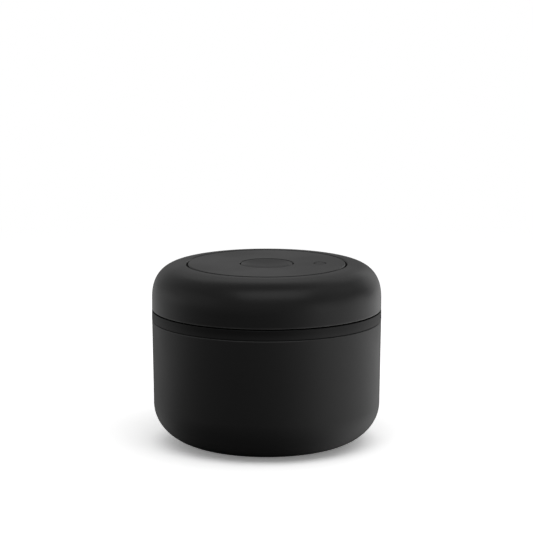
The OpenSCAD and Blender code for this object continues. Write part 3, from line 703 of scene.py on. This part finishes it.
def make_disc():
    """The fixed disc, with holes for the button and the pin, its skirt and its pegs."""
    well_r = button_r + BUTTON_GAP
    pin = (pin_x, 0)
    pegs = around(PEG_ANGLES, PEG_X)
    flat_r = plate_r - PLATE_EDGE_R - SUPPORT
    rim_r = well_r + SEAM_EDGE_R + SUPPORT
    pin_rim_r = PIN_HOLE_R + SEAM_EDGE_R + SUPPORT
    bm = bmesh.new()
    turn_open(bm, [(plate_r, plate_z), (plate_r, top, PLATE_EDGE_R), (flat_r, top)])
    turn_open(bm, [(well_r, plate_z), (well_r, top, SEAM_EDGE_R), (rim_r, top)])
    turn_open(bm, [
        (SLEEVE_HOLE_R, plate_z), (SLEEVE_HOLE_R, top - PIN_SKIN), (PIN_HOLE_R, top - PIN_SKIN),
        (PIN_HOLE_R, top, SEAM_EDGE_R), (pin_rim_r, top)], segments=SMALL_AROUND, centre=pin)
    sheet_with_holes(bm, [((0, 0), flat_r, AROUND), ((0, 0), rim_r, AROUND),
                          (pin, pin_rim_r, SMALL_AROUND)], top)
    sheet_with_holes(bm, [((0, 0), plate_r, AROUND), ((0, 0), well_r, AROUND),
                          (pin, SLEEVE_HOLE_R, SMALL_AROUND),
                          *((peg, PEG_R, PEG_AROUND) for peg in pegs)], plate_z)
    for peg in pegs:
        turn_open(bm, [(PEG_R, plate_z), (PEG_R, plate_z - PEG_L, FINE_EDGE_R),
                       (0, plate_z - PEG_L)], segments=PEG_AROUND, centre=peg)
    skirt_r = plate_r - SKIRT_INSET
    skirt_in = skirt_r - SKIRT_T
    skirt_low = plate_z - SKIRT_H
    skirt_high = plate_z + FINE_EDGE_R
    notch = 2 * math.asin(NOTCH_W / 2 / skirt_r)
    pitch = math.tau / NOTCHES
    for index in range(NOTCHES):
        turn(bm, [(skirt_in, skirt_high), (skirt_in, skirt_low), (skirt_r, skirt_low),
                  (skirt_r, skirt_high)],
             segments=SKIRT_STEPS, angle=pitch - notch, start=index * pitch + notch / 2)
    add_piece("disc", bm, "lid", [soft_black], "lid_plastic", "top_disc")


def make_button():
    """The dished release button, with its hub and ribs underneath."""
    button_top = button_high.z
    hub_z = button_low.z
    bottom = hub_z + BUTTON_HUB_DROP
    dish_z = button_top - DISH_DEPTH
    roof_z = dish_z - BUTTON_WALL
    inner_r = button_r - BUTTON_WALL
    dish_r = button_r - SEAM_EDGE_R - BUTTON_RIM_W
    ball_r = (dish_r ** 2 + DISH_DEPTH ** 2) / (2 * DISH_DEPTH)
    half = math.asin(dish_r / ball_r)
    dish = []
    for step in range(1, DISH_STEPS + 1):
        angle = half * (1 - step / DISH_STEPS)
        dish.append((ball_r * math.sin(angle), dish_z + ball_r * (1 - math.cos(angle))))
    bm = bmesh.new()
    turn_open(bm, [
        (0, hub_z + STEM_SOCKET), (STEM_HOLE_R, hub_z + STEM_SOCKET), (STEM_HOLE_R, hub_z),
        (BUTTON_HUB_R, hub_z, FINE_EDGE_R), (BUTTON_HUB_R, roof_z), (inner_r, roof_z),
        (inner_r, bottom, FINE_EDGE_R), (button_r, bottom, FINE_EDGE_R),
        (button_r, button_top, SEAM_EDGE_R), (dish_r, button_top, DISH_EDGE_R), *dish],
        segments=BUTTON_AROUND)
    for index in range(BUTTON_RIBS):
        bar(bm, BUTTON_HUB_R - EDGE_R, inner_r + EDGE_R, BUTTON_RIB_T, bottom + EDGE_R,
            roof_z + EDGE_R, index * math.tau / BUTTON_RIBS)
    add_piece("button", bm, "button", [soft_black], "lid_plastic", "release_button")


def make_indicator():
    """The pin, and the diaphragm that follows it down."""
    low, high = pin_low.z, pin_high.z
    flange_r = pin_high.x - pin_x
    flange_top = high - PIN_H
    pin_top = (high + top) / 2
    bm = bmesh.new()
    turn_open(bm, [
        (0, low), (flange_r, low, FINE_EDGE_R), (flange_r, flange_top, FINE_EDGE_R),
        (PIN_R, flange_top), (PIN_R, pin_top, FINE_EDGE_R), (0, pin_top)],
        segments=SMALL_AROUND, centre=(pin_x, 0))
    add_piece("pin", bm, "indicator", [soft_black], "lid_plastic", "indicator_pin")

    rim_low, rim_high = named_box("indicator_diaphragm")
    rim_z, pad_top, rim_r = rim_low.z, rim_high.z, rim_high.x - pin_x
    pad_z = pad_top - DIAPHRAGM_PAD_T
    rim_top = rim_z + DIAPHRAGM_RIM_T
    roll = DIAPHRAGM_PAD_T / 2
    bm = bmesh.new()
    turn_open(bm, [
        (0, pad_z), (DIAPHRAGM_PAD_R, pad_z), (DIAPHRAGM_RIM_R, rim_z + roll),
        (DIAPHRAGM_RIM_R, rim_z), (rim_r, rim_z), (rim_r, rim_top),
        (DIAPHRAGM_RIM_R + roll, rim_top), (DIAPHRAGM_PAD_R + roll, pad_top), (0, pad_top)],
        segments=SMALL_AROUND, centre=(pin_x, 0))
    skin = add_piece("diaphragm", bm, None, [silicone], "silicone", "indicator_diaphragm")
    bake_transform(skin)


def make_spring(name, node, coil):
    """A coil spring as tall as its node, made once at that length and riding on the lid."""
    radius, wire, turns = coil
    low, high = named_box(node)
    centre = ((low.x + high.x) / 2, (low.y + high.y) / 2)
    steps = turns * COIL_STEPS
    rise = (high.z - low.z - 2 * wire) / steps
    bm = bmesh.new()
    place = Matrix.Translation((radius, 0, low.z + wire)) @ Matrix.Rotation(math.pi / 2, 4, "X")
    ring = bmesh.ops.create_circle(bm, radius=wire, segments=WIRE_AROUND, matrix=place)["verts"]
    bmesh.ops.spin(bm, geom=ring + edges_of(ring), cent=(0, 0, 0), axis=(0, 0, 1),
                   angle=turns * math.tau, steps=steps, dvec=(0, 0, rise))
    bmesh.ops.holes_fill(bm, edges=[edge for edge in bm.edges if len(edge.link_faces) == 1])
    bmesh.ops.translate(bm, verts=bm.verts, vec=(*centre, 0))
    spring = add_piece(name, bm, "lid", [small_steel], "small_steel", node)
    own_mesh(spring)


make_canister()
make_cap()
make_disc()
make_button()
make_indicator()
make_spring("button_coil", "button_spring", BUTTON_COIL)
make_spring("pin_coil", "indicator_spring", PIN_COIL)

# Finishes of the nodes that keep their CAD shape
FINISHES = {
    "lid_base": band_black,
    "lid_gasket": silicone,
    "vent_cover": soft_black,
    "filter_screen": screen_steel,
    "inlet_valve": silicone,
    "pump_barrel": grey_plastic,
    "barrel_seal": silicone,
    "barrel_screws": small_steel,
    "top_carrier": grey_plastic,
    "carrier_screws": small_steel,
    "indicator_sleeve": signal_green,
    "valve_stem": small_steel,
    "release_valve": silicone,
    "piston": natural_plastic,
    "piston_seal": silicone,
    "column_seal": silicone,
    "guide_seal": silicone,
    "exhaust_valve": silicone,
    "follower_pins": small_steel,
    "cam_sleeve": black_acetal,
    "cap_screws": small_steel,
}

for name, finish in FINISHES.items():
    nodes[name].data.materials.clear()
    nodes[name].data.materials.append(finish)


# Camera and studio

def make_camera():
    """The camera of the photograph, level from side to side and a little above the object."""
    data = bpy.data.cameras.new("camera")
    data.lens = CAMERA_LENS
    data.sensor_width = CAMERA_SENSOR_W
    data.shift_x = CAMERA_SHIFT_X
    camera = bpy.data.objects.new("camera", data)
    camera.location = (0, -CAMERA_DISTANCE * math.cos(CAMERA_ELEVATION),
                       CAMERA_AIM_Z + CAMERA_DISTANCE * math.sin(CAMERA_ELEVATION))
    camera.rotation_euler = (math.pi / 2 - CAMERA_ELEVATION, 0, 0)
    bpy.context.scene.collection.objects.link(camera)
    bpy.context.scene.camera = camera


def make_lamp(name, place, size, power):
    """A soft area lamp at a place, turned to the object."""
    lamp = bpy.data.lights.new(name, "AREA")
    lamp.shape = "RECTANGLE"
    lamp.size, lamp.size_y = size
    lamp.energy = power
    box = bpy.data.objects.new(name, lamp)
    box.location = place
    box.rotation_euler = (Vector(LAMP_AIM) - Vector(place)).to_track_quat("-Z", "Y").to_euler()
    bpy.context.scene.collection.objects.link(box)


def make_world():
    """White to the camera and through clear things, and a plain fill of light to the rest."""
    world = bpy.data.worlds.new("studio")
    bpy.context.scene.world = world
    world.use_nodes = True
    tree = world.node_tree
    tree.nodes.clear()
    ray = tree.nodes.new("ShaderNodeLightPath").outputs
    fill = plain_shader(tree, "Background", Color=WHITE, Strength=WORLD_FILL)
    white = plain_shader(tree, "Background", Color=WHITE, Strength=1.0)
    seen = maths(tree, "MAXIMUM", ray["Is Camera Ray"], ray["Is Transmission Ray"])
    feed(tree, tree.nodes.new("ShaderNodeOutputWorld"),
         {"Surface": mixed(tree, seen, fill, white)})


def make_floor_material():
    """White with the object's shadow to the camera, and a graded glow to all other rays.

    Seen from below it is clear, so that the underside of the object can be looked at.
    """
    material, tree, shader = new_material("floor_white", (1, 1, 1))
    tree.nodes.remove(shader)
    place = object_place(tree)
    ray = tree.nodes.new("ShaderNodeLightPath").outputs
    distance = vector_maths(tree, "LENGTH", {0: place})["Value"]
    direction = vector_maths(tree, "NORMALIZE", {0: place})["Vector"]

    # To the camera
    near_floor = plain_shader(tree, "BsdfDiffuse", Color=(FLOOR_GAIN, FLOOR_GAIN, FLOOR_GAIN, 1))
    far_floor = plain_shader(tree, "Emission", Color=WHITE)
    far = spread(tree, distance, FLOOR_SHADE_R, FLOOR_WHITE_R, FLOOR_LIFT, 1.0)
    seen = mixed(tree, far, near_floor, far_floor)

    # To all other rays
    dim_side = (math.sin(FLOOR_DIM_SIDE), -math.cos(FLOOR_DIM_SIDE), 0)
    frontness = vector_maths(tree, "DOT_PRODUCT", {0: direction, 1: dim_side})["Value"]
    level = spread(tree, frontness, *FLOOR_DIM_RANGE, FLOOR_PALE, FLOOR_DIM)
    to_right = maths(tree, "MULTIPLY", axes(tree, direction)["X"], FLOOR_RIGHT)
    paler = maths(tree, "ADD", 1.0, to_right)
    # Painted shadow: the glow fades out under the object
    shaded = spread(tree, distance, *FLOOR_PAINTED_SHADOW, 0.0, 1.0)
    strength = maths(tree, "MULTIPLY", maths(tree, "MULTIPLY", level, paler), shaded)
    glow = plain_shader(tree, "Emission", Color=WHITE, Strength=strength)
    bounced = plain_shader(tree, "BsdfDiffuse",
                           Color=(FLOOR_BOUNCE, FLOOR_BOUNCE, FLOOR_BOUNCE, 1))
    reflected = feed(tree, tree.nodes.new("ShaderNodeAddShader"), {0: glow, 1: bounced})

    upper = mixed(tree, ray["Is Camera Ray"], reflected.outputs["Shader"], seen)

    # From below
    back = tree.nodes.new("ShaderNodeNewGeometry").outputs["Backfacing"]
    below = maths(tree, "MULTIPLY", back, ray["Is Camera Ray"])
    feed(tree, tree.nodes["Material Output"],
         {"Surface": mixed(tree, below, upper, plain_shader(tree, "BsdfTransparent"))})
    return material


def make_floor():
    """The round floor that the object stands on."""
    bm = bmesh.new()
    bmesh.ops.create_circle(bm, cap_ends=True, radius=FLOOR_R, segments=FLOOR_AROUND)
    mesh = bpy.data.meshes.new("floor")
    bm.to_mesh(mesh)
    bm.free()
    mesh.materials.append(make_floor_material())
    floor = bpy.data.objects.new("floor", mesh)
    bpy.context.scene.collection.objects.link(floor)


make_camera()
for name, (place, size, power) in LAMPS.items():
    make_lamp(name, place, size, power)
make_world()
make_floor()
bpy.context.scene.view_settings.view_transform = "Standard"
